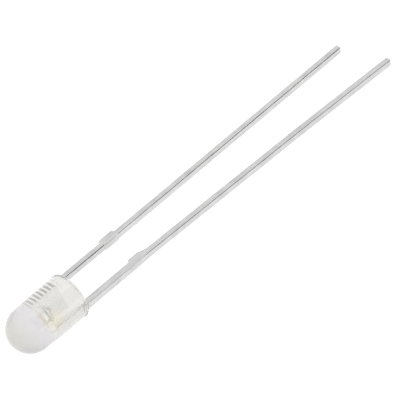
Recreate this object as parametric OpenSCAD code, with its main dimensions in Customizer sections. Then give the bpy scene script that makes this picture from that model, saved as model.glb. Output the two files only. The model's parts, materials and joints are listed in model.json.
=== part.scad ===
// Through hole LED, 3 mm round type without a flange, lying on a flat surface.
// Every piece is drawn along X: the flat base of the lens is at x = 0, its dome points to -X and the leads run to +X.
// The stamped leads lie in the XY plane, cathode on +Y. The module laid() then puts the part down on z = 0.

/* [Lens] */
// Length of the epoxy casting from its flat base to the top of the dome
lens_len = 4.9; // [4.8:0.05:6]
// Diameter where the dome meets the barrel
dome_d = 2.96; // [2.9:0.01:3]
// Diameter of the straight foot of the barrel
base_d = 3.06; // [3.04:0.01:3.2]
// Distance from the base to where the barrel starts to taper towards the dome
taper_from = 1.6; // [0.8:0.1:2.4]
// How far the lip at the base stands out from the barrel
lip_step = 0.03; // [0.01:0.01:0.08]
// Length of the lip along the barrel
lip_h = 0.15; // [0.1:0.01:0.3]
// Chamfer on both edges of the lip
lip_chamfer = 0.03; // [0.01:0.01:0.04]
// How far the epoxy has crept up each lead
creep_h = 0.26; // [0.1:0.02:0.5]
// How far the crept epoxy spreads beside each lead at the base
creep_w = 0.14; // [0.05:0.01:0.2]

/* [Leads] */
// Distance between the lead centres at the base
lead_pitch = 2.54; // [2.4:0.02:2.56]
// Width of a lead in the plane of the stamping
lead_w = 0.4; // [0.3:0.01:0.44]
// Thickness of the sheet that the leads are stamped from
lead_t = 0.48; // [0.3:0.02:0.54]
// Length of the anode lead from the base
anode_len = 27.1; // [12:0.2:32]
// Length of the cathode lead from the base
cathode_len = 26; // [11:0.2:30]
// Width of the anode lead between the base and its shoulder
anode_root_w = 0.44; // [0.4:0.01:0.46]
// Angle by which the anode lead turns outwards after its shoulder
anode_bend = 1; // [0:0.1:3]
// Further angle that the anode lead has bowed outwards at its tip
anode_bow = 1.4; // [0:0.1:3]
// Angle by which the cathode lead turns outwards after its shoulder
cathode_bend = 0.25; // [0:0.05:3]
// Nip left by the cutter at the corners of each lead tip
tip_nip = 0.05; // [0.02:0.01:0.1]

/* [Stand-off shoulders] */
// Distance from the base to the start of both shoulders
shoulder_at = 4.05; // [2:0.05:8]
// How far a shoulder stands out on the cathode side of its lead
shoulder_step = 0.14; // [0.05:0.01:0.3]
// How far the cathode shoulder stands out on its other side
shoulder_back = 0.04; // [0.01:0.01:0.2]
// Full length of the cathode shoulder
cathode_shoulder_len = 1.13; // [0.5:0.01:2]
// Run-out of the cathode shoulder towards the tip
cathode_runout = 0.12; // [0.05:0.01:1]
// Full length of the anode shoulder
anode_shoulder_len = 0.84; // [0.5:0.01:2]
// Run-out of the anode shoulder towards the tip
anode_runout = 0.62; // [0.05:0.01:1]

/* [Anvil and cup] */
// Distance from the base to the rim of the reflector cup
cup_h = 2.6; // [2.4:0.05:3]
// Depth of the cup
cup_depth = 0.26; // [0.2:0.01:0.35]
// Diameter of the cup at its rim
cup_rim_d = 0.76; // [0.66:0.01:0.8]
// Diameter of the cup floor
cup_floor_d = 0.5; // [0.46:0.01:0.6]
// Wall of the cup at its rim
cup_wall = 0.08; // [0.06:0.01:0.12]
// Length of the round head that the cup is struck into
head_len = 0.4; // [0.3:0.01:0.5]
// Length of the cone below the head
head_cone_len = 0.35; // [0.2:0.01:0.5]
// Distance from the rim of the cup down to the top of the sheet that carries the head
rim_step = 0.05; // [0.02:0.01:0.2]
// Distance from the base to the top of the outer arm of the anvil
arm_h = 2.55; // [1.8:0.05:2.55]
// Width of the anvil on the anode side of the axis, beside the head
anvil_reach = 0.4; // [0.3:0.01:0.42]
// Width of the anvil on the anode side of the axis, at its lower corner
anvil_foot_reach = 0.3; // [0.1:0.01:0.4]
// Distance from the base to the lower corner of the anvil
anvil_foot_h = 0.9; // [0.7:0.05:1.2]
// Distance from the base to where the leads widen inside the epoxy
root_h = 0.3; // [0.2:0.05:0.4]
// Epoxy left outside the stamping within the barrel
side_wall = 0.12; // [0.08:0.01:0.3]
// Number of grip notches in the outer edge of the anvil
notch_count = 7; // [1:1:7]
// Distance from one grip notch to the next
notch_pitch = 0.29; // [0.2:0.01:0.3]
// Width of a grip notch
notch_w = 0.15; // [0.08:0.01:0.18]
// Depth of a grip notch
notch_depth = 0.5; // [0.05:0.01:0.55]
// Distance from the top of the outer arm to the first grip notch
notch_from = 0.1; // [0.1:0.01:0.2]
// Least distance from where the leads widen to the last grip notch
notch_clear = 0.15; // [0.1:0.01:0.25]

/* [Post] */
// Width of the anode post at its top
post_w = 0.5; // [0.4:0.01:0.6]
// Distance from the base to where the anode post reaches its full width
post_flare_h = 1.2; // [0.8:0.05:1.6]

/* [Die and wires] */
// Side of the square die
die_side = 0.3; // [0.2:0.01:0.32]
// Height of the die
die_h = 0.1; // [0.08:0.01:0.15]
// Thickness of the adhesive under the die
film_t = 0.02; // [0.01:0.01:0.03]
// Diameter of the round of adhesive
film_d = 0.46; // [0.44:0.01:0.5]
// Distance of each bond pad from the middle of the die
pad_out = 0.08; // [0.06:0.01:0.1]
// Diameter of the bond wires
wire_d = 0.03; // [0.025:0.005:0.04]
// Diameter of the ball that starts each wire on the die
ball_d = 0.08; // [0.06:0.01:0.1]
// Height of that ball
ball_h = 0.03; // [0.02:0.01:0.04]
// Diameter of the stitch that ends each wire
stitch_d = 0.09; // [0.06:0.01:0.12]
// Height of the stitch
stitch_h = 0.015; // [0.01:0.005:0.03]

/* [Hidden] */
$fn = 96;

epoxy_colour = [0.90, 0.91, 0.92, 0.5];
tin_colour = [0.78, 0.78, 0.77];
phosphor_colour = [0.93, 0.80, 0.36];
die_colour = [0.45, 0.52, 0.60];
film_colour = [0.80, 0.80, 0.78];
gold_colour = [0.87, 0.68, 0.27];

dome_r = dome_d / 2;
base_r = base_d / 2;
lip_r = base_r + lip_step;
barrel_len = lens_len - dome_r;
lead_out = (lead_pitch + lead_w) / 2;
lead_in = (lead_pitch - lead_w) / 2;
anode_out = (lead_pitch + anode_root_w) / 2;
anode_in = (lead_pitch - anode_root_w) / 2;
cup_floor_h = cup_h - cup_depth;
film_top_h = cup_floor_h + film_t;
bond_h = film_top_h + die_h;
head_r = cup_rim_d / 2 + cup_wall;
head_foot_h = cup_h - head_len;
head_seat_h = cup_h - rim_step;
bow_steps = 8;
wire_sides = 24;

// Radius of the barrel and edge of the stamping within it, at a height above the base
function barrel_r(h) = base_r + (dome_r - base_r) * max(0, h - taper_from) / (barrel_len - taper_from);
function frame_edge(h) = min(lead_out, sqrt(pow(barrel_r(h), 2) - pow(lead_t / 2, 2)) - side_wall);

// Middle of each lead across its length
anode_bend_at = shoulder_at + anode_shoulder_len;
anode_free = anode_len - anode_bend_at;
function cathode_y(x) = lead_pitch / 2 + max(0, x - shoulder_at - cathode_shoulder_len) * tan(cathode_bend);
function bowed(u) = u * tan(anode_bend) + u * u / (2 * anode_free) * (tan(anode_bend + anode_bow) - tan(anode_bend));
function anode_y(x) = -lead_pitch / 2 - bowed(max(0, x - anode_bend_at));
function along_cathode(edge) = [for (p = edge) [p.x, cathode_y(p.x) + p.y]];
function along_anode(edge) = [for (p = edge) [p.x, anode_y(p.x) + p.y]];
function backwards(list) = [for (i = [len(list) - 1 : -1 : 0]) list[i]];

// The plane that touches the lip and both lead tips: its normal is [rest_a, rest_b, 1]
lip_x = -lip_chamfer;
tip_slope = (anode_len - cathode_len) / (cathode_y(cathode_len) - anode_y(anode_len));
tip_reach = anode_len - lip_x + tip_slope * (anode_y(anode_len) + lead_w / 2);
rest_first = (lead_t / 2 - lip_r) / tip_reach;
rest_a = (lead_t / 2 - lip_r * norm([1, rest_first * tip_slope])) / tip_reach;
rest_b = rest_a * tip_slope;
rest_drop = (rest_a * lip_x - lip_r * norm([1, rest_b])) / norm([rest_a, rest_b, 1]);
rest_roll = atan(rest_b);
rest_tilt = -atan(rest_a / norm([1, rest_b]));

// Where a point of the straight frame lands once the part lies down, and the corners that set its box
function rolled(p) = [p.x, p.y * cos(rest_roll) - p.z * sin(rest_roll), p.y * sin(rest_roll) + p.z * cos(rest_roll)];
function tilted(p) = [p.x * cos(rest_tilt) + p.z * sin(rest_tilt), p.y, p.z * cos(rest_tilt) - p.x * sin(rest_tilt)];
function landed(p) = tilted(rolled(p));
far_corners = [for (y = [-1, 1], z = [-1, 1])
    landed([anode_len, anode_y(anode_len) + y * (lead_w / 2 - tip_nip), z * lead_t / 2])];
cathode_side = max([for (p = [[cathode_len - tip_nip, 0], [shoulder_at + cathode_shoulder_len, shoulder_step]], z = [-1, 1])
    landed([p.x, cathode_y(p.x) + lead_w / 2 + p.y, z * lead_t / 2]).y]);
anode_side = min([for (z = [-1, 1])
    landed([anode_len - tip_nip, anode_y(anode_len - tip_nip) - lead_w / 2, z * lead_t / 2]).y]);
near_x = landed([-barrel_len, 0, 0]).x - dome_r;
middle = [(near_x + max([for (p = far_corners) p.x])) / 2, (max(cathode_side, lip_r) + min(anode_side, -lip_r)) / 2];

module laid() {
    translate([-middle.x, -middle.y, -rest_drop]) rotate([rest_roll, rest_tilt, 0]) children();
}

// A round feature on the axis between two heights above the base
module round_part(h0, h1, d0, d1) {
    translate([-h0, 0, 0]) rotate([0, -90, 0]) cylinder(h = h1 - h0, d1 = d0, d2 = d1);
}

module sheet(outline) {
    translate([0, 0, -lead_t / 2]) linear_extrude(lead_t) polygon(outline);
}

// Outline of each lead outside the epoxy, as offsets from its middle line
cathode_outer = [
    [shoulder_at, lead_w / 2],
    [shoulder_at, lead_w / 2 + shoulder_step],
    [shoulder_at + cathode_shoulder_len, lead_w / 2 + shoulder_step],
    [shoulder_at + cathode_shoulder_len + cathode_runout, lead_w / 2],
    [cathode_len - tip_nip, lead_w / 2],
    [cathode_len, lead_w / 2 - tip_nip]];
cathode_inner = [
    [cathode_len, tip_nip - lead_w / 2],
    [cathode_len - tip_nip, -lead_w / 2],
    [shoulder_at + cathode_shoulder_len + cathode_runout, -lead_w / 2],
    [shoulder_at + cathode_shoulder_len, -lead_w / 2 - shoulder_back],
    [shoulder_at, -lead_w / 2 - shoulder_back],
    [shoulder_at, -lead_w / 2]];
bow_start = anode_bend_at + anode_runout;
bow_x = [for (i = [0 : bow_steps - 1]) bow_start + (anode_len - tip_nip - bow_start) * i / bow_steps];
anode_inner = concat(
    [[shoulder_at, anode_root_w / 2],
     [shoulder_at, anode_root_w / 2 + shoulder_step],
     [anode_bend_at, anode_root_w / 2 + shoulder_step]],
    [for (x = bow_x) [x, lead_w / 2]],
    [[anode_len - tip_nip, lead_w / 2],
     [anode_len, lead_w / 2 - tip_nip]]);
anode_outer = concat(
    [[anode_len, tip_nip - lead_w / 2],
     [anode_len - tip_nip, -lead_w / 2]],
    [for (x = backwards(bow_x)) [x, -lead_w / 2]],
    [[shoulder_at, -anode_root_w / 2]]);

// Edge of the anvil with its grip notches, from the leads towards the head
notch_top = arm_h - notch_from;
function notch_at(h) = [
    [-h, frame_edge(h)],
    [-h, frame_edge(h) - notch_depth],
    [-(h + notch_w), frame_edge(h) - notch_depth],
    [-(h + notch_w), frame_edge(h)]];
notches = min(notch_count, floor((notch_top - notch_w - root_h - notch_clear) / notch_pitch) + 1);
anvil_edge = [for (i = [notches - 1 : -1 : 0]) each notch_at(notch_top - notch_w - i * notch_pitch)];

module cathode_sheet() {
    sheet(concat(
        [[0, lead_out], [-root_h, lead_out], [-root_h, frame_edge(root_h)]],
        anvil_edge,
        [[-arm_h, frame_edge(arm_h)],
         [-arm_h, head_r],
         [-head_seat_h, cup_rim_d / 2],
         [-head_seat_h, -anvil_reach],
         [-anvil_foot_h, -anvil_foot_reach],
         [-root_h, lead_in],
         [0, lead_in]],
        backwards(along_cathode(cathode_inner)),
        backwards(along_cathode(cathode_outer))));
}

module cup_space() {
    round_part(cup_floor_h, cup_h, cup_floor_d, cup_rim_d);
}

module cathode_lead() {
    color(tin_colour) difference() {
        union() {
            cathode_sheet();
            round_part(head_foot_h, cup_h, 2 * head_r, 2 * head_r);
            round_part(head_foot_h - head_cone_len, head_foot_h, lead_t, 2 * head_r);
        }
        cup_space();
    }
}

module anode_lead() {
    post_edge = frame_edge(bond_h);
    color(tin_colour) sheet(concat(
        [[0, -anode_out], [-root_h, -anode_out], [-root_h, -frame_edge(root_h)],
         [-bond_h, -post_edge],
         [-bond_h, post_w - post_edge],
         [-post_flare_h, post_w - post_edge],
         [-root_h, -anode_in],
         [0, -anode_in]],
        along_anode(anode_inner),
        along_anode(anode_outer)));
}

module die_attach() {
    color(film_colour) round_part(cup_floor_h, film_top_h, film_d, film_d);
}

module led_chip() {
    color(die_colour) translate([-bond_h, -die_side / 2, -die_side / 2]) cube([die_h, die_side, die_side]);
}

// A wire on the cathode side: it leaves the ball on the die, arches over in the plane of the leads and drops to its stitch
module bond_wire(y_end, h_end) {
    rise = bond_h + ball_h / 2 - h_end;
    span = y_end - pad_out;
    loop_r = (span * span + rise * rise) / (2 * span);
    color(gold_colour) {
        translate([0, pad_out, 0]) round_part(bond_h, bond_h + ball_h, ball_d, ball_d);
        translate([-h_end, y_end - loop_r, 0]) rotate([0, 0, 90])
            rotate_extrude(angle = 180 - asin(rise / loop_r)) translate([loop_r, 0]) circle(d = wire_d, $fn = wire_sides);
        translate([0, y_end, 0]) round_part(h_end, h_end + stitch_h, stitch_d, stitch_d);
    }
}

module cathode_bond_wire() {
    bond_wire((head_r + frame_edge(arm_h)) / 2, arm_h);
}

module anode_bond_wire() {
    mirror([0, 1, 0]) bond_wire(frame_edge(bond_h) - post_w / 2, bond_h);
}

module phosphor_fill() {
    color(phosphor_colour) difference() {
        cup_space();
        die_attach();
        led_chip();
        cathode_bond_wire();
        anode_bond_wire();
    }
}

// Epoxy that has crept up a lead, drawn in towards the lead from the outline of the base
module creep(y) {
    intersection() {
        translate([0, y, 0]) rotate([0, 90, 0]) cylinder(h = creep_h, r1 = lead_w / 2 + creep_w, r2 = lead_w / 2);
        rotate([0, 90, 0]) cylinder(h = creep_h, r1 = base_r, r2 = lead_out);
    }
}

module lens_body() {
    color(epoxy_colour) difference() {
        union() {
            translate([-barrel_len, 0, 0]) rotate([0, 90, 0]) sphere(r = dome_r);
            round_part(0, taper_from, base_d, base_d);
            round_part(taper_from, barrel_len, base_d, dome_d);
            round_part(0, lip_chamfer, 2 * (lip_r - lip_chamfer), 2 * lip_r);
            round_part(lip_chamfer, lip_h - lip_chamfer, 2 * lip_r, 2 * lip_r);
            round_part(lip_h - lip_chamfer, lip_h, 2 * lip_r, 2 * (lip_r - lip_chamfer));
            creep(lead_pitch / 2);
            creep(-lead_pitch / 2);
        }
        cathode_lead();
        anode_lead();
        cup_space();
        cathode_bond_wire();
        anode_bond_wire();
    }
}

laid() lens_body();
laid() cathode_lead();
laid() anode_lead();
laid() led_chip();
laid() die_attach();
laid() phosphor_fill();
laid() cathode_bond_wire();
laid() anode_bond_wire();
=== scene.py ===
# A 3 mm through hole LED with a clear lens, lying on a pale table.
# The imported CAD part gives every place; the looks are built round it in the LED's own millimetres.
import json
import math

import bmesh
import bpy
from mathutils import Matrix, Vector


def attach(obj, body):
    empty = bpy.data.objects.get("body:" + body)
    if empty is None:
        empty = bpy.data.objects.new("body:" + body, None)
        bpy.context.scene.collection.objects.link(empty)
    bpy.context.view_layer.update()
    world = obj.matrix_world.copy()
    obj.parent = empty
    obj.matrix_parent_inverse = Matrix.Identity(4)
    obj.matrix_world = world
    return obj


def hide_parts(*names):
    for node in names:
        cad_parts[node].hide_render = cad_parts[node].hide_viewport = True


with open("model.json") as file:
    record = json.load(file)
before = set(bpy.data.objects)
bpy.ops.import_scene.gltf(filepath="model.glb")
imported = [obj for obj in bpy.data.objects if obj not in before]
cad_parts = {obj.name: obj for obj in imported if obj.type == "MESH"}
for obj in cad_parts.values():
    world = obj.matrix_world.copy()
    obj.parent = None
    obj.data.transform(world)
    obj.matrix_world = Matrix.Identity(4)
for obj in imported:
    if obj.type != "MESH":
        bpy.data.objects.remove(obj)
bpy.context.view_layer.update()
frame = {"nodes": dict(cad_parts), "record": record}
print("frame loaded:", ", ".join(sorted(frame["nodes"])))


# Where the LED lies: x runs along the leads from the base of the lens, y points to the cathode, z out of the sheet
mounts = {mount["name"]: mount for mount in frame["record"]["mounts"]}
alongLeads = Vector(mounts["lens_base"]["axis"]).normalized()
upperFaces = [face for face in frame["nodes"]["anode_lead"].data.polygons if face.normal.z > 0.9]
outOfSheet = max(upperFaces, key=lambda face: face.area).normal.copy()
towardsCathode = outOfSheet.cross(alongLeads).normalized()
millimetre = 0.001
ledToRow = (
    Matrix.Translation(mounts["lens_base"]["pos_m"])
    @ Matrix((alongLeads, towardsCathode, outOfSheet)).transposed().to_4x4()
    @ Matrix.Scale(millimetre, 4)
)
rowToLed = ledToRow.inverted()


def ledBox(node):  # lowest and highest corner of a CAD node in the LED's own millimetres
    corners = [rowToLed @ vertex.co for vertex in frame["nodes"][node].data.vertices]
    return [Vector(pick(corner[axis] for corner in corners) for axis in range(3)) for pick in (min, max)]


# Nodes are written as expressions: a Wire holds an output socket, and arithmetic on it adds Math nodes
class Wire:
    def __init__(self, graph, socket):
        self.graph, self.socket = graph, socket

    def reckon(self, operation, *values):
        return self.graph.add("ShaderNodeMath", {"operation": operation}, dict(enumerate(values)))

    def __add__(self, other): return self.reckon("ADD", self, other)
    def __sub__(self, other): return self.reckon("SUBTRACT", self, other)
    def __rsub__(self, other): return self.reckon("SUBTRACT", other, self)
    def __mul__(self, other): return self.reckon("MULTIPLY", self, other)
    def __truediv__(self, other): return self.reckon("DIVIDE", self, other)
    def __pow__(self, other): return self.reckon("POWER", self, other)
    def __abs__(self): return self.reckon("ABSOLUTE", self)
    def atLeast(self, other): return self.reckon("MAXIMUM", self, other)
    def atMost(self, other): return self.reckon("MINIMUM", self, other)
    def asShare(self): return self.atLeast(0.0).atMost(1.0)

    def __getitem__(self, name):  # another output of the same node
        return Wire(self.graph, self.socket.node.outputs[name])


class Graph:
    def __init__(self, tree):
        self.tree = tree

    def add(self, kind, settings=None, sockets=None):
        node = self.tree.nodes.new(kind)
        for name, value in (settings or {}).items():
            setattr(node, name, value)
        live = [socket for socket in node.inputs if socket.enabled]
        for key, value in (sockets or {}).items():
            socket = live[key] if isinstance(key, int) else next(s for s in live if s.name == key)
            if isinstance(value, Wire):
                self.tree.links.new(value.socket, socket)
            elif isinstance(value, list):
                for wire in value:
                    self.tree.links.new(wire.socket, socket)
            else:
                socket.default_value = value
        shown = [socket for socket in node.outputs if socket.enabled]
        return Wire(self, shown[0]) if shown else node


# Geometry trees: each takes the piece's own line or outline as its mesh and has named inputs for its sizes
def geometryTree(name, inputs):
    tree = bpy.data.node_groups.new(name, "GeometryNodeTree")
    tree.interface.new_socket("Geometry", in_out="INPUT", socket_type="NodeSocketGeometry")
    for label, value in inputs.items():
        kind = {float: "NodeSocketFloat", int: "NodeSocketInt", str: "NodeSocketMaterial"}[type(value)]
        socket = tree.interface.new_socket(label, in_out="INPUT", socket_type=kind)
        if not isinstance(value, str):
            socket.default_value = value
    tree.interface.new_socket("Geometry", in_out="OUTPUT", socket_type="NodeSocketGeometry")
    graph = Graph(tree)
    return graph, graph.add("NodeGroupInput")


def closeTree(graph, given, geometry):
    solid = graph.add("GeometryNodeRealizeInstances", {}, {"Geometry": geometry})
    painted = graph.add("GeometryNodeSetMaterial", {}, {"Geometry": solid, "Material": given["Material"]})
    graph.add("NodeGroupOutput", {}, {"Geometry": painted})
    return graph.tree


# Sweeps a half profile round the LED's axis; its x is the radius, and its y is minus the place along the axis
def turned(graph, given):
    profile = graph.add("GeometryNodeMeshToCurve", {}, {"Mesh": given["Geometry"]})
    inset = graph.add("GeometryNodeTransform", {}, {"Geometry": profile, "Translation": (-1.0, 0.0, 0.0)})
    hoop = graph.add("GeometryNodeCurvePrimitiveCircle", {"mode": "RADIUS"}, {
        "Resolution": given["Segments"], "Radius": 1.0})
    swept = graph.add("GeometryNodeCurveToMesh", {}, {"Curve": hoop, "Profile Curve": inset})
    joined = graph.add("GeometryNodeMergeByDistance", {}, {"Geometry": swept, "Distance": given["Merge Gap"]})
    quarterTurn = (0.0, math.radians(90), 0.0)
    upright = graph.add("GeometryNodeTransform", {}, {"Geometry": joined, "Rotation": quarterTurn})
    return graph.add("GeometryNodeSetShadeSmooth", {}, {"Geometry": upright})


def latheTree():
    graph, given = geometryTree("turned piece", {"Segments": 96, "Merge Gap": 0.0004, "Material": ""})
    return closeTree(graph, given, turned(graph, given))


def lensTree():  # the casting is turned too, and on its base the epoxy climbs each lead
    graph, given = geometryTree("cast lens", {
        "Segments": 96, "Merge Gap": 0.0004, "Lead Pitch": 2.54, "Lead Width": 0.4, "Sheet Thickness": 0.48,
        "Creep Height": 0.2, "Creep Width": 0.1, "Rim Radius": 1.5, "Rim Fade": 0.04, "Material": ""})
    cast = turned(graph, given)
    spot = graph.add("ShaderNodeSeparateXYZ", {}, {"Vector": graph.add("GeometryNodeInputPosition")})
    beside = (abs(abs(spot["Y"]) - given["Lead Pitch"] * 0.5) - given["Lead Width"] * 0.5).atLeast(0.0)
    above = (abs(spot["Z"]) - given["Sheet Thickness"] * 0.5).atLeast(0.0)
    away = (beside * beside + above * above) ** 0.5
    climb = (1.0 - away / given["Creep Width"]).atLeast(0.0) ** 2.0
    fromRim = given["Rim Radius"] - (spot["Y"] * spot["Y"] + spot["Z"] * spot["Z"]) ** 0.5
    fade = (fromRim / given["Rim Fade"]).asShare()
    onBase = spot["X"].reckon("GREATER_THAN", spot["X"], -0.0005)  # the base lies at 0
    lift = graph.add("ShaderNodeCombineXYZ", {}, {"X": climb * fade * given["Creep Height"]})
    crept = graph.add("GeometryNodeSetPosition", {}, {"Geometry": cast, "Selection": onBase, "Offset": lift})
    return closeTree(graph, given, crept)


# Raises half the sheet from its outline in steps that draw in over the edge, then mirrors it
def stampTree(steps):
    graph, given = geometryTree("stamped sheet", {"Thickness": 0.5, "Merge Gap": 0.0001, "Material": ""})
    drawIn = graph.add("GeometryNodeInputNamedAttribute", {"data_type": "FLOAT_VECTOR"}, {"Name": "drawIn"})
    radius = graph.add("GeometryNodeInputNamedAttribute", {"data_type": "FLOAT"}, {"Name": "rounding"})
    straight = graph.add("ShaderNodeCombineXYZ", {}, {"Z": given["Thickness"] * 0.5 - radius})
    sheet = graph.add("GeometryNodeExtrudeMesh", {"mode": "EDGES"}, {"Mesh": given["Geometry"], "Offset": straight})
    for step in range(steps):
        before, after = [math.radians(90 * k / steps) for k in (step, step + 1)]
        inward = graph.add("ShaderNodeVectorMath", {"operation": "SCALE"}, {
            "Vector": drawIn, "Scale": math.cos(before) - math.cos(after)})
        lift = graph.add("ShaderNodeCombineXYZ", {}, {"Z": radius * (math.sin(after) - math.sin(before))})
        move = graph.add("ShaderNodeVectorMath", {"operation": "ADD"}, {0: inward, 1: lift})
        sheet = graph.add("GeometryNodeExtrudeMesh", {"mode": "EDGES"}, {
            "Mesh": sheet["Mesh"], "Selection": sheet["Top"], "Offset": move})
    rim = graph.add("GeometryNodeMeshToCurve", {}, {"Mesh": sheet["Mesh"], "Selection": sheet["Top"]})
    face = graph.add("GeometryNodeFillCurve", {"mode": "NGONS"}, {"Curve": rim})
    height = graph.add("ShaderNodeCombineXYZ", {}, {"Z": given["Thickness"] * 0.5})
    face = graph.add("GeometryNodeTransform", {}, {"Geometry": face, "Translation": height})
    upper = graph.add("GeometryNodeJoinGeometry", {}, {"Geometry": [sheet["Mesh"], face]})
    lower = graph.add("GeometryNodeTransform", {}, {"Geometry": upper, "Scale": (1.0, 1.0, -1.0)})
    both = graph.add("GeometryNodeJoinGeometry", {}, {"Geometry": [upper, lower]})
    closed = graph.add("GeometryNodeMergeByDistance", {}, {"Geometry": both, "Distance": given["Merge Gap"]})
    return closeTree(graph, given, closed)


# Draws a wire along its line, with the flattened ball at its first point and the stitch at its last
def bondTree():
    graph, given = geometryTree("bond wire", {
        "Wire Diameter": 0.03, "Ball Diameter": 0.08, "Ball Height": 0.03,
        "Stitch Diameter": 0.09, "Stitch Height": 0.015, "Material": ""})
    line = graph.add("GeometryNodeMeshToCurve", {}, {"Mesh": given["Geometry"]})
    section = graph.add("GeometryNodeCurvePrimitiveCircle", {"mode": "RADIUS"}, {
        "Resolution": 16, "Radius": given["Wire Diameter"] * 0.5})
    parts = [graph.add("GeometryNodeCurveToMesh", {}, {"Curve": line, "Profile Curve": section, "Fill Caps": True})]
    index = graph.add("GeometryNodeInputIndex")
    count = graph.add("GeometryNodeAttributeDomainSize", {"component": "MESH"}, {"Geometry": given["Geometry"]})
    last = count["Point Count"] - 1.0
    bead = graph.add("GeometryNodeMeshUVSphere", {}, {"Segments": 24, "Rings": 12, "Radius": 0.5})
    for end, width, height in ((0.0, "Ball Diameter", "Ball Height"), (last, "Stitch Diameter", "Stitch Height")):
        flattened = graph.add("ShaderNodeCombineXYZ", {}, {"X": given[height], "Y": given[width], "Z": given[width]})
        atEnd = index.reckon("COMPARE", index, end, 0.5)
        parts.append(graph.add("GeometryNodeInstanceOnPoints", {}, {
            "Points": given["Geometry"], "Selection": atEnd, "Instance": bead, "Scale": flattened}))
    both = graph.add("GeometryNodeJoinGeometry", {}, {"Geometry": parts})
    solid = graph.add("GeometryNodeRealizeInstances", {}, {"Geometry": both})
    return closeTree(graph, given, graph.add("GeometryNodeSetShadeSmooth", {}, {"Geometry": solid}))


# Runs a tree on a line or outline and returns the plain mesh, still in the LED's own millimetres
def grow(name, points, edges, tree, inputs, material, attributes=None):
    line = bpy.data.meshes.new(name + " line")
    line.from_pydata(points, edges, [])
    for label, (kind, field, values) in (attributes or {}).items():
        layer = line.attributes.new(label, kind, "POINT")
        for i, value in enumerate(values):
            setattr(layer.data[i], field, value)
    source = bpy.data.objects.new(name + "Line", line)
    bpy.context.scene.collection.objects.link(source)
    modifier = source.modifiers.new("tree", "NODES")
    modifier.node_group = tree
    sockets = {item.name: item.identifier for item in tree.interface.items_tree if item.in_out == "INPUT"}
    for label, value in {**inputs, "Material": material}.items():
        modifier[sockets[label]] = value
    bpy.context.view_layer.update()
    depsgraph = bpy.context.evaluated_depsgraph_get()
    mesh = bpy.data.meshes.new_from_object(source.evaluated_get(depsgraph), depsgraph=depsgraph)
    source.modifiers.remove(modifier)
    bpy.data.objects.remove(source)
    mesh.materials.clear()  # the line's own empty slot goes
    mesh.materials.append(material)
    return mesh


def chain(count, closed=False):  # edges that join points in a row
    return [(i, (i + 1) % count) for i in range(count if closed else count - 1)]


def place(name, meshes):  # joins meshes drawn in the LED's millimetres into one piece in the row frame
    whole = bmesh.new()
    for mesh in meshes:
        whole.from_mesh(mesh)
    bmesh.ops.recalc_face_normals(whole, faces=whole.faces)
    whole.transform(ledToRow)
    mesh = bpy.data.meshes.new(name)
    for material in {m.name: m for part in meshes for m in part.materials}.values():
        mesh.materials.append(material)
    whole.to_mesh(mesh)
    whole.free()
    piece = bpy.data.objects.new(name, mesh)
    bpy.context.scene.collection.objects.link(piece)
    return piece


# Finishes
def bareMaterial(name):
    material = bpy.data.materials.new(name)
    material.use_nodes = True
    material.node_tree.nodes.clear()
    return material, Graph(material.node_tree)


def finish(name):  # a new material, its graph, and the LED's own three coordinates in millimetres
    material, graph = bareMaterial(name)
    inRow = graph.add("ShaderNodeTexCoord")["Object"]
    base = tuple(mounts["lens_base"]["pos_m"])
    local = graph.add("ShaderNodeVectorMath", {"operation": "SUBTRACT"}, {0: inRow, 1: base})
    spot = []
    for axis in (alongLeads, towardsCathode, outOfSheet):
        metres = graph.add("ShaderNodeVectorMath", {"operation": "DOT_PRODUCT"}, {0: local, 1: tuple(axis)})["Value"]
        spot.append(metres / millimetre)
    return material, graph, spot


def coat(graph, sockets):  # one Principled shader on the surface
    shader = graph.add("ShaderNodeBsdfPrincipled", {}, sockets)
    graph.add("ShaderNodeOutputMaterial", {}, {"Surface": shader})


def blend(graph, factor, first, second):  # each end is a colour or what another node gives
    first, second = [end if isinstance(end, Wire) else (*end, 1.0) for end in (first, second)]
    return graph.add("ShaderNodeMix", {"data_type": "RGBA"}, {"Factor": factor, "A": first, "B": second})


def speckle(graph, spot, stretch, scale, detail=3.0):  # noise, drawn out along the leads by stretch
    along, across, out = spot
    drawn = graph.add("ShaderNodeCombineXYZ", {}, {"X": along / stretch, "Y": across, "Z": out})
    return graph.add("ShaderNodeTexNoise", {}, {"Vector": drawn, "Scale": scale, "Detail": detail, "Roughness": 0.55})


def relief(graph, height, strength, depth):  # depth in millimetres
    return graph.add("ShaderNodeBump", {}, {"Strength": strength, "Distance": depth * millimetre, "Height": height})


clearEpoxy = {
    "domeTint": (0.745, 0.73, 0.745), "barrelTint": (0.785, 0.772, 0.733), "tipTint": (0.74, 0.725, 0.685),
    "tipStarts": -3.5, "tipFade": 1.3, "domeEnds": -3.3, "barrelStarts": -2.5,  # millimetres from the base
    "domeClearness": 0.03, "domeClearing": 0.27, "barrelClearness": 0.44, "innerTint": (1.0, 1.0, 1.0), "ior": 1.5,
    # warm patch: a painted reflection of the phosphor on the wall beside the cup
    "warmTint": (0.84, 0.77, 0.60), "warmAt": (-2.35, -1.30, 0.75), "warmReach": 0.85, "warmGain": 1.8, "warmMost": 0.6,
    "roughness": 0.03, "roughnessSpread": 0.05,
    "flowMarks": 1.1, "flowStretch": 2.0, "markHeight": 0.004, "markStrength": 0.3,
}


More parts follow.
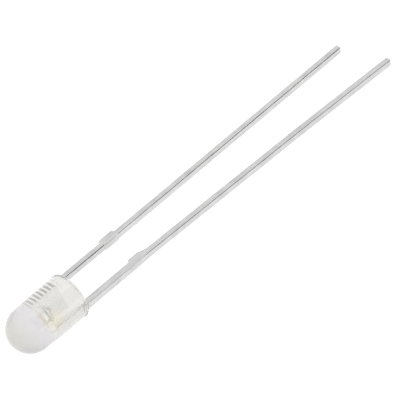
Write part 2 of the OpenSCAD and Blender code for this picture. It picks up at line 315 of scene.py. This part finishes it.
def epoxyFinish(look):
    material, graph, spot = finish("clear epoxy")
    along = spot[0]
    towardsBarrel = ((along - look["domeEnds"]) / (look["barrelStarts"] - look["domeEnds"])).asShare()
    towardsTip = ((look["tipStarts"] - along) / look["tipFade"]).asShare()
    flow = speckle(graph, spot, look["flowStretch"], look["flowMarks"])
    ripple = relief(graph, flow, look["markStrength"], look["markHeight"])
    domeColour = blend(graph, towardsTip, look["domeTint"], look["tipTint"])
    plain = blend(graph, towardsBarrel, domeColour, look["barrelTint"])
    # a painted reflection of the phosphor: a warm patch on the wall beside the cup
    apart = [coordinate - centre for coordinate, centre in zip(spot, look["warmAt"])]
    reach = (apart[0] * apart[0] + apart[1] * apart[1] + apart[2] * apart[2]) ** 0.5 / look["warmReach"]
    paintedPhosphorReflection = ((1.0 - reach) * flow * look["warmGain"]).atLeast(0.0).atMost(look["warmMost"])
    tint = blend(graph, paintedPhosphorReflection, plain, look["warmTint"])
    hazy, clear = [graph.add("ShaderNodeBsdfPrincipled", {}, {
        "Base Color": tint, "Roughness": flow * look["roughnessSpread"] + look["roughness"], "Normal": ripple,
        "IOR": look["ior"], "Transmission Weight": look[end + "Clearness"]}) for end in ("dome", "barrel")]
    clearing = towardsBarrel * (1.0 - look["domeClearing"]) + (1.0 - towardsTip) * look["domeClearing"]
    outer = graph.add("ShaderNodeMixShader", {}, {0: clearing, 1: hazy, 2: clear})
    inner = graph.add("ShaderNodeBsdfPrincipled", {}, {
        "Base Color": (*look["innerTint"], 1.0), "Roughness": look["roughness"], "IOR": look["ior"],
        "Transmission Weight": 1.0})
    fromInside = graph.add("ShaderNodeNewGeometry")["Backfacing"]  # light on its way out meets no second haze
    mixed = graph.add("ShaderNodeMixShader", {}, {0: fromInside, 1: outer, 2: inner})
    graph.add("ShaderNodeOutputMaterial", {}, {"Surface": mixed})
    return material


tinnedLead = {
    "dull": (0.54, 0.54, 0.54), "bright": (0.71, 0.71, 0.705), "brightGain": 1.4, "brightFrom": 0.9,
    "streakLength": 14.0, "streakScale": 9.0, "streakDetail": 4.0, "mottleScale": 1.6,
    "drawLines": 22.0, "drawLength": 60.0, "lineHeight": 0.002, "lineStrength": 0.5,
    "roughness": 0.07, "roughnessSpread": 0.16, "cleanShare": 0.55, "insideRise": 20.0,
    # the bright colour is the clean plate inside the epoxy and also a painted highlight on the anvil's teeth; the dark
    # colour is painted shade on the walls of its notches and along the grooves
    "notchWall": (0.03, 0.03, 0.03), "notchTop": (0.97, 0.97, 0.96), "notchesFrom": 0.55, "notchRise": 12.0,
    "wallFrom": 0.19, "wallRise": 50.0, "grooveTop": 2.45, "groovePitch": 0.29, "grooveShare": 0.517, "grooves": 7,
}


def tinFinish(look):
    material, graph, spot = finish("tinned lead")
    along, across, out = spot
    streaks = speckle(graph, spot, look["streakLength"], look["streakScale"], look["streakDetail"])
    mottle = speckle(graph, spot, 1.0, look["mottleScale"])
    lines = speckle(graph, spot, look["drawLength"], look["drawLines"])
    shine = ((streaks + mottle) * look["brightGain"] - look["brightFrom"]).asShare()
    bumps = relief(graph, lines + mottle, look["lineStrength"], look["lineHeight"])
    inside = along * -look["insideRise"]
    teeth = inside.asShare() * ((across - look["notchesFrom"]) * look["notchRise"]).asShare()
    notch = (along + look["grooveTop"]) / look["groovePitch"]  # each notch runs on over the sheet as a stroke of painted shade, a groove that the shape does not have
    counted = notch.reckon("GREATER_THAN", notch, 0.0) * notch.reckon("LESS_THAN", notch, float(look["grooves"]))
    paintedGrooveShade = notch.reckon("LESS_THAN", notch.reckon("FRACT", notch), look["grooveShare"]) * counted * teeth
    # painted shade: the notch walls in the teeth and the groove strokes are coloured near black
    paintedWallShade = (((look["wallFrom"] - abs(out)) * look["wallRise"]).asShare() * teeth).atLeast(paintedGrooveShade)
    weathered = blend(graph, shine, look["dull"], look["bright"])
    plated = blend(graph, inside.atLeast(0.0).atMost(look["cleanShare"]), weathered, look["notchTop"])
    # painted highlight: the anvil's teeth are coloured near white
    teethWithPaintedHighlight = blend(graph, teeth, plated, look["notchTop"])
    coat(graph, {
        "Base Color": blend(graph, paintedWallShade, teethWithPaintedHighlight, look["notchWall"]),
        "Roughness": mottle * look["roughnessSpread"] + look["roughness"], "Normal": bumps, "Metallic": 1.0})
    return material


innerFinishes = {
    "phosphor": {
        "first": (0.88, 0.62, 0.06), "second": (0.96, 0.80, 0.26), "scale": 30.0, "roughness": 0.5, "metal": 0.0},
    "die": {
        "first": (0.35, 0.42, 0.50), "second": (0.62, 0.68, 0.74), "scale": 14.0, "roughness": 0.2, "metal": 0.0},
    "die film": {
        "first": (0.62, 0.62, 0.60), "second": (0.82, 0.82, 0.80), "scale": 40.0, "roughness": 0.45, "metal": 0.4},
    "gold wire": {
        "first": (0.86, 0.62, 0.24), "second": (0.98, 0.78, 0.40), "scale": 20.0, "roughness": 0.22, "metal": 1.0},
}
innerGrain = {
    "detail": 5.0, "contrast": 2.0, "shift": 0.5, "roughnessSpread": 0.2, "height": 0.002, "strength": 0.4,
}


def grainFinish(name):  # a fine two-tone grain with a little relief
    look = innerFinishes[name]
    material, graph, spot = finish(name)
    grain = speckle(graph, spot, 1.0, look["scale"], innerGrain["detail"])
    toned = (grain * innerGrain["contrast"] - innerGrain["shift"]).asShare()
    coat(graph, {
        "Base Color": blend(graph, toned, look["first"], look["second"]),
        "Roughness": grain * innerGrain["roughnessSpread"] + look["roughness"],
        "Normal": relief(graph, grain, innerGrain["strength"], innerGrain["height"]), "Metallic": look["metal"]})
    return material


epoxy, tin = epoxyFinish(clearEpoxy), tinFinish(tinnedLead)
phosphorPaint, diePaint, filmPaint, goldPaint = [grainFinish(name) for name in innerFinishes]
print("finishes mixed")


# Lens: the casting from the top of the dome to the flat base
lens = {
    "domeRadius": 1.48, "footRadius": 1.53, "taperFrom": 1.6, "lipLength": 0.15, "lipRounding": 0.03, "lipBlend": 0.6,
    "rimRounding": 0.03, "rimFade": 0.03, "creepWidth": 0.14, "leadPitch": 2.54, "leadWidth": 0.42,
    "segments": 256, "domeSteps": 56, "barrelSteps": 8, "lipSteps": 6, "rimSteps": 8, "baseRings": 72,
}
lensLow, lensHigh = ledBox("lens_body")
anodeLow, anodeHigh = ledBox("anode_lead")
sheetThickness = anodeHigh.z - anodeLow.z


def arc(middle, radius, start, end, steps):  # points along a rounding, as (place along the axis, radius)
    angles = [math.radians(start + (end - start) * i / steps) for i in range(steps + 1)]
    return [(middle[0] + radius * math.cos(a), middle[1] + radius * math.sin(a)) for a in angles]


def lensProfile(size):
    lipRadius, lip, rim = lensHigh.y, size["lipRounding"], size["rimRounding"]
    domeMiddle = lensLow.x + size["domeRadius"]
    run, draft = -size["taperFrom"] - domeMiddle, size["footRadius"] - size["domeRadius"]
    dome = arc((domeMiddle, 0.0), size["domeRadius"], 180, 90, size["domeSteps"])
    barrel = [(domeMiddle + run * i / size["barrelSteps"], size["domeRadius"] + draft * i / size["barrelSteps"])
              for i in range(1, size["barrelSteps"] + 1)]
    foot = [(-size["lipLength"] - lip * size["lipBlend"], size["footRadius"])]
    edge = arc((-size["lipLength"] + lip, lipRadius - lip), lip, 180, 90, size["lipSteps"])
    edge += arc((-rim, lipRadius - rim), rim, 90, 0, size["rimSteps"])
    rings = [(0.0, (lipRadius - rim) * (1 - i / size["baseRings"])) for i in range(1, size["baseRings"] + 1)]
    return dome + barrel + foot + edge + rings


def profilePoints(profile):
    return [(max(radius, 0.0), -along, 0.0) for along, radius in profile]


points = profilePoints(lensProfile(lens))
lensMesh = grow("lens", points, chain(len(points)), lensTree(), {
    "Segments": lens["segments"], "Lead Pitch": lens["leadPitch"], "Lead Width": lens["leadWidth"],
    "Sheet Thickness": sheetThickness, "Creep Height": lensHigh.x, "Creep Width": lens["creepWidth"],
    "Rim Radius": lensHigh.y - lens["rimRounding"], "Rim Fade": lens["rimFade"]}, epoxy)
castLens = place("cast_lens", [lensMesh])
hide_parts("lens_body")
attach(castLens, "root")
print("lens cast:", len(castLens.data.polygons), "faces")


# Leads: both are stamped from one sheet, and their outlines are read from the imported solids
stamping = {
    "cornerRadius": 0.04, "cornerSteps": 3, "cornerShare": 0.4, "edgeSteps": 12,
    # the edge's rounding along each lead, as (place from the base of the lens, radius)
    "cathode_lead": [
        (0.0, 0.03), (0.05, 0.09), (4.10, 0.09), (4.25, 0.008),
        (5.15, 0.008), (5.30, 0.085), (25.80, 0.08), (25.90, 0.04)],
    "anode_lead": [
        (0.0, 0.03), (0.05, 0.04), (4.00, 0.03), (4.10, 0.008),
        (4.80, 0.008), (5.05, 0.06), (26.80, 0.06), (26.90, 0.04)],
}


def edgeRounding(along, node):
    stops = stamping[node]
    if along <= stops[0][0]:
        return stops[0][1]
    for (start, first), (end, last) in zip(stops, stops[1:]):
        if along <= end:
            return first + (last - first) * (along - start) / (end - start)
    return stops[-1][1]


def cutAtStops(ring, node):  # adds a point wherever a side of the ring passes a stop of the rounding
    margin, cut = 0.02, []
    for here, there in zip(ring, ring[1:] + ring[:1]):
        cut.append(here)
        low, high = sorted((here.x, there.x))
        passed = [stop for stop, radius in stamping[node] if low + margin < stop < high - margin]
        shares = sorted((stop - here.x) / (there.x - here.x) for stop in passed)
        cut += [here.lerp(there, share) for share in shares]
    return cut


def sheetOutline(node):  # the rim of a lead's upper face, as points in a ring
    weldGap, levelGap, levelNormal, straightWithin = 0.0002, 0.004, 0.99, math.radians(0.5)
    copy = bmesh.new()
    copy.from_mesh(frame["nodes"][node].data)
    copy.transform(rowToLed)
    bmesh.ops.remove_doubles(copy, verts=copy.verts, dist=weldGap)
    copy.normal_update()
    rest = [face for face in copy.faces
            if abs(face.calc_center_median().z - sheetThickness / 2) > levelGap or face.normal.z < levelNormal]
    bmesh.ops.delete(copy, geom=rest, context="FACES")
    bmesh.ops.dissolve_limit(copy, angle_limit=straightWithin, verts=copy.verts, edges=copy.edges)
    links = {}
    for edge in copy.edges:
        if edge.is_boundary:
            for here, there in (edge.verts, reversed(edge.verts)):
                links.setdefault(here.index, []).append(there.index)
    spots = {vertex.index: vertex.co.xy.copy() for vertex in copy.verts}
    rings = []
    while links:
        ring = [next(iter(links))]
        while True:
            step = next((k for k in links[ring[-1]] if k not in ring), None)
            if step is None:
                break
            ring.append(step)
        for k in ring:
            links.pop(k)
        rings.append([spots[k] for k in ring])
    copy.free()
    ring = max(rings, key=len)
    turning = sum(a.x * b.y - b.x * a.y for a, b in zip(ring, ring[1:] + ring[:1]))
    return cutAtStops(ring if turning > 0 else ring[::-1], node)  # the metal is always on the left


# Corner points of the ring, how far each draws in over the edge, and the edge's radius
def roundedOutline(ring, node):
    smoothTurn, deepestDraw = 0.9, 0.25  # limits on the cosine of the turn, and on 1 plus it
    points, drawIn, radii = [], [], []
    for i, here in enumerate(ring):
        before, after = here - ring[i - 1], ring[(i + 1) % len(ring)] - here
        left = [Vector((-side.y, side.x)).normalized() for side in (before, after)]
        turnCosine = left[0].dot(left[1])
        radius = edgeRounding(here.x, node)
        inner = here + (left[0] + left[1]) / max(1.0 + turnCosine, deepestDraw) * radius
        cut = min(stamping["cornerRadius"], before.length * stamping["cornerShare"],
                  after.length * stamping["cornerShare"])
        corner = [here]
        if turnCosine < smoothTurn:
            first, last = here - before.normalized() * cut, here + after.normalized() * cut
            shares = [k / stamping["cornerSteps"] for k in range(stamping["cornerSteps"] + 1)]
            corner = [first * (1 - t) ** 2 + here * (2 * t * (1 - t)) + last * t ** 2 for t in shares]
        for spot in corner:
            points.append((spot.x, spot.y, 0.0))
            drawIn.append(((inner - spot).x, (inner - spot).y, 0.0))
            radii.append(radius)
    return points, drawIn, radii


# Reflector cup: the round head struck into the end of the cathode lead
cup = {
    "height": 2.6, "depth": 0.26, "rimRadius": 0.38, "floorRadius": 0.25, "wall": 0.08, "headLength": 0.4,
    "coneLength": 0.35, "rimRounding": 0.02, "rimSteps": 4, "rimTurnsTo": 260, "floorBlend": 0.4, "segments": 128,
}
lathe, stamp = latheTree(), stampTree(stamping["edgeSteps"])


def stamped(node):
    points, drawIn, radii = roundedOutline(sheetOutline(node), node)
    print("rim of", node + ":", len(points), "points")
    return grow(node, points, chain(len(points), True), stamp, {"Thickness": sheetThickness}, tin, {
        "drawIn": ("FLOAT_VECTOR", "vector", drawIn), "rounding": ("FLOAT", "value", radii)})


def cupProfile(size):
    outer, ledge = size["rimRadius"] + size["wall"], -size["height"] + size["headLength"]
    r, steps = size["rimRounding"], size["rimSteps"]
    coneEnd = ledge + size["coneLength"]
    head = [(coneEnd, 0.0), (coneEnd, sheetThickness / 2), (ledge, outer - r), (ledge - r, outer)]
    rim = arc((-size["height"] + r, outer - r), r, 90, 180, steps)
    rim += arc((-size["height"] + r, size["rimRadius"] + r), r, 180, size["rimTurnsTo"], steps)
    floor, floorRadius = -size["height"] + size["depth"], size["floorRadius"]
    return head + rim + [(floor - r, floorRadius + r * size["floorBlend"]), (floor, floorRadius - r), (floor, 0.0)]


points = profilePoints(cupProfile(cup))
headMesh = grow("head", points, chain(len(points)), lathe, {"Segments": cup["segments"]}, tin)
cathodeStamp, anodeStamp = stamped("cathode_lead"), stamped("anode_lead")
cathodePiece = place("cathode_stamping", [cathodeStamp])
cupPiece = place("reflector_cup", [headMesh])
anodePiece = place("anode_stamping", [anodeStamp])
for piece, node in ((cathodePiece, "cathode_lead"), (cupPiece, "cathode_lead"), (anodePiece, "anode_lead")):
    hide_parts(node)
    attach(piece, "root")
print("leads stamped:", len(cathodePiece.data.polygons), len(anodePiece.data.polygons), "faces")


# What sits in the cup: the film of adhesive, the die on it, and the phosphor poured over them
dieLow, dieHigh = ledBox("led_chip")
filmLow, filmHigh = ledBox("die_attach")
die = {"padOut": 0.08, "edge": 0.012, "filmFillet": 0.012, "filmSegments": 64,
       "fillDip": 0.03, "fillSteps": 14, "fillSegments": 96}


def boxMesh(name, low, high, edge, material):  # a sawn block with its edges broken
    block = bmesh.new()
    bmesh.ops.create_cube(block, size=1.0)
    for vertex in block.verts:
        vertex.co = Vector((high if vertex.co[axis] > 0 else low)[axis] for axis in range(3))
    bmesh.ops.bevel(block, geom=block.edges, offset=edge, segments=2, profile=0.5, affect="EDGES")
    mesh = bpy.data.meshes.new(name)
    block.to_mesh(mesh)
    block.free()
    mesh.materials.append(material)
    return mesh


diePiece = place("die", [boxMesh("die", dieLow, dieHigh, die["edge"], diePaint)])
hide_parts("led_chip")

filmRadius, fillet = filmHigh.y, die["filmFillet"]
filmProfile = [
    (filmHigh.x, 0.0), (filmHigh.x, filmRadius), (filmHigh.x - fillet * 0.4, filmRadius - fillet * 0.3),
    (filmLow.x, filmRadius - fillet * 2), (filmLow.x, 0.0)]
points = profilePoints(filmProfile)
filmPiece = place("adhesive_film", [
    grow("film", points, chain(len(points)), lathe, {"Segments": die["filmSegments"]}, filmPaint)])
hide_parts("die_attach")

fillLow, fillHigh = ledBox("phosphor_fill")
fillRadius = fillHigh.y
meniscus = []
for i in range(die["fillSteps"] + 1):
    share = i / die["fillSteps"]
    meniscus.append((fillLow.x + die["fillDip"] * (1 - share ** 2), fillRadius * share))
points = profilePoints(meniscus + [(fillHigh.x, cup["floorRadius"]), (fillHigh.x, 0.0)])
fillPiece = place("phosphor", [
    grow("phosphor", points, chain(len(points)), lathe, {"Segments": die["fillSegments"]}, phosphorPaint)])
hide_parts("phosphor_fill")

for piece in (diePiece, filmPiece, fillPiece):
    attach(piece, "root")


# Bond wires: one from each side of the die, to the arm beside the cup and to the anode post
wires = {
    "diameter": 0.03, "ballDiameter": 0.08, "ballHeight": 0.03, "stitchDiameter": 0.09, "stitchHeight": 0.03,
    "armHeight": 2.55, "steps": 40,
}
bond = bondTree()


def wirePoints(node, side):  # the arc from the ball on the die to the stitch, read from the node's box
    low, high = ledBox(node)
    end = (high.y if side > 0 else -low.y) - wires["stitchDiameter"] / 2
    foot, start = wires["armHeight"] if side > 0 else -high.x, die["padOut"]
    rise, span = -dieLow.x + wires["ballHeight"] / 2 - foot, end - start
    loop = (span * span + rise * rise) / (2 * span)
    sweep = 180 - math.degrees(math.asin(rise / loop))
    line = arc((end - loop, foot), loop, sweep, 0, wires["steps"])
    return [(-height, side * reach, 0.0) for reach, height in line]


for node, side in (("cathode_bond_wire", 1), ("anode_bond_wire", -1)):
    points = wirePoints(node, side)
    mesh = grow(node, points, chain(len(points)), bond, {
        "Wire Diameter": wires["diameter"], "Ball Diameter": wires["ballDiameter"], "Ball Height": wires["ballHeight"],
        "Stitch Diameter": wires["stitchDiameter"], "Stitch Height": wires["stitchHeight"]}, goldPaint)
    piece = place(node.split("_")[0] + "_wire_loop", [mesh])
    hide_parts(node)
    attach(piece, "root")
print("die bonded")


# Table: a plain pale sheet that keeps the shadow; the camera, metal and epoxy see it white
table = {"size": 1.2, "diffuse": 0.8, "seenDiffuse": 0.3, "glow": 0.84}


def seenDirectly(graph):  # 1 for what the camera, a reflection or a refraction sees
    path = graph.add("ShaderNodeLightPath")
    return path["Is Camera Ray"].atLeast(path["Is Glossy Ray"]).atLeast(path["Is Transmission Ray"])


def paintTable(look):
    material, graph = bareMaterial("pale table")
    grey, pale = look["diffuse"], look["seenDiffuse"]
    plain = graph.add("ShaderNodeBsdfDiffuse", {}, {"Color": (grey, grey, grey, 1.0)})
    catcher = graph.add("ShaderNodeBsdfDiffuse", {}, {"Color": (pale, pale, pale, 1.0)})
    glow = graph.add("ShaderNodeEmission", {}, {"Strength": look["glow"]})
    seen = graph.add("ShaderNodeAddShader", {}, {0: catcher, 1: glow})
    shader = graph.add("ShaderNodeMixShader", {}, {0: seenDirectly(graph), 1: plain, 2: seen})
    graph.add("ShaderNodeOutputMaterial", {}, {"Surface": shader})
    return material


half = table["size"] / 2
sheet = bpy.data.meshes.new("table")
sheet.from_pydata([(-half, -half, 0), (half, -half, 0), (half, half, 0), (-half, half, 0)], [], [(0, 1, 2, 3)])
sheet.materials.append(paintTable(table))
tableTop = bpy.data.objects.new("table", sheet)
bpy.context.scene.collection.objects.link(tableTop)


# Light: a pale room and two soft boxes
room = {"ceiling": 0.94, "skirting": 0.75, "wallHeight": 0.5}
world = bpy.data.worlds.new("pale room")
world.use_nodes = True
world.node_tree.nodes.clear()
graph = Graph(world.node_tree)
height = graph.add("ShaderNodeSeparateXYZ", {}, {"Vector": graph.add("ShaderNodeTexCoord")["Generated"]})["Z"]
wallTone = (height / room["wallHeight"]).asShare() * (room["ceiling"] - room["skirting"]) + room["skirting"]
skyTone = wallTone.atLeast(seenDirectly(graph))
sky = graph.add("ShaderNodeBackground", {}, {"Color": (1.0, 1.0, 1.0, 1.0), "Strength": skyTone})
graph.add("ShaderNodeOutputWorld", {}, {"Surface": sky})
bpy.context.scene.world = world

softBoxes = {
    "key": {"towards": (0.45, -0.70, 0.55), "distance": 0.40, "width": 0.40, "power": 0.25},
    "fill": {"towards": (-0.75, 0.30, 0.60), "distance": 0.50, "width": 0.40, "power": 0.12},
}
target = Vector((0.0, 0.0, 0.001))
for name, box in softBoxes.items():
    lamp = bpy.data.lights.new(name, "AREA")
    lamp.shape, lamp.size, lamp.energy = "SQUARE", box["width"], box["power"]
    towardsLamp = Vector(box["towards"]).normalized()
    holder = bpy.data.objects.new(name, lamp)
    turnedDown = towardsLamp.to_track_quat("Z", "Y").to_matrix().to_4x4()
    holder.matrix_world = Matrix.Translation(target + towardsLamp * box["distance"]) @ turnedDown
    bpy.context.scene.collection.objects.link(holder)


# A dark flag hangs over the leads, so that their rounded edges reflect a line of it
flag = {"towards": (0.42, -0.571, 0.705), "distance": 0.35, "alongLeads": 0.30, "across": 0.37, "shade": 0.06}
towardsFlag = Vector(flag["towards"]).normalized()
clothSide = Vector((1.0, 0.0, 0.0)).cross(towardsFlag).normalized()
clothRun = towardsFlag.cross(clothSide) * -flag["alongLeads"] / 2
clothSide = clothSide * flag["across"] / 2
clothCentre = target + towardsFlag * flag["distance"]
clothCorners = [clothCentre - clothRun - clothSide, clothCentre + clothRun - clothSide,
                clothCentre + clothRun + clothSide, clothCentre - clothRun + clothSide]
cloth = bpy.data.meshes.new("flag")
cloth.from_pydata(clothCorners, [], [(0, 1, 2, 3)])
black, graph = bareMaterial("flag cloth")
dark = flag["shade"]
graph.add("ShaderNodeOutputMaterial", {}, {
    "Surface": graph.add("ShaderNodeBsdfDiffuse", {}, {"Color": (dark, dark, dark, 1.0)})})
cloth.materials.append(black)
flagCloth = bpy.data.objects.new("flag", cloth)
bpy.context.scene.collection.objects.link(flagCloth)
flagCloth.visible_camera = flagCloth.visible_diffuse = flagCloth.visible_shadow = flagCloth.visible_transmission = False


# Camera: where the photograph was taken from, with its slight roll
view = {
    "azimuth": -39.87, "elevation": 48.96, "roll": -9.55, "distance": 0.1724, "pixelsPerMillimetre": 16.184,
    "lookAlong": 11.127, "right": 0.193, "up": -0.645, "pixels": 400, "sensor": 36.0, "nearest": 0.2, "farthest": 20,
}
turnTo, tilt, roll = [math.radians(view[name]) for name in ("azimuth", "elevation", "roll")]
back = Vector((math.sin(turnTo) * math.cos(tilt), -math.cos(turnTo) * math.cos(tilt), math.sin(tilt)))
levelRight = Vector((math.cos(turnTo), math.sin(turnTo), 0.0))
over = back.cross(levelRight)
right = levelRight * math.cos(roll) + over * math.sin(roll)
up = over * math.cos(roll) - levelRight * math.sin(roll)
aim = ledToRow @ Vector((view["lookAlong"], 0.0, 0.0)) + (right * view["right"] + up * view["up"]) * millimetre
pixelsPerMetre = view["pixelsPerMillimetre"] / millimetre
lensData = bpy.data.cameras.new("camera")
lensData.sensor_width = view["sensor"]
lensData.lens = pixelsPerMetre * view["distance"] / view["pixels"] * view["sensor"]
lensData.clip_start, lensData.clip_end = view["distance"] * view["nearest"], view["distance"] * view["farthest"]
camera = bpy.data.objects.new("camera", lensData)
facing = Matrix((right, up, back)).transposed().to_4x4()
camera.matrix_world = Matrix.Translation(aim + back * view["distance"]) @ facing
bpy.context.scene.collection.objects.link(camera)
bpy.context.scene.camera = camera
bpy.context.scene.view_settings.view_transform = "Standard"
print("camera set")

bpy.context.view_layer.update()
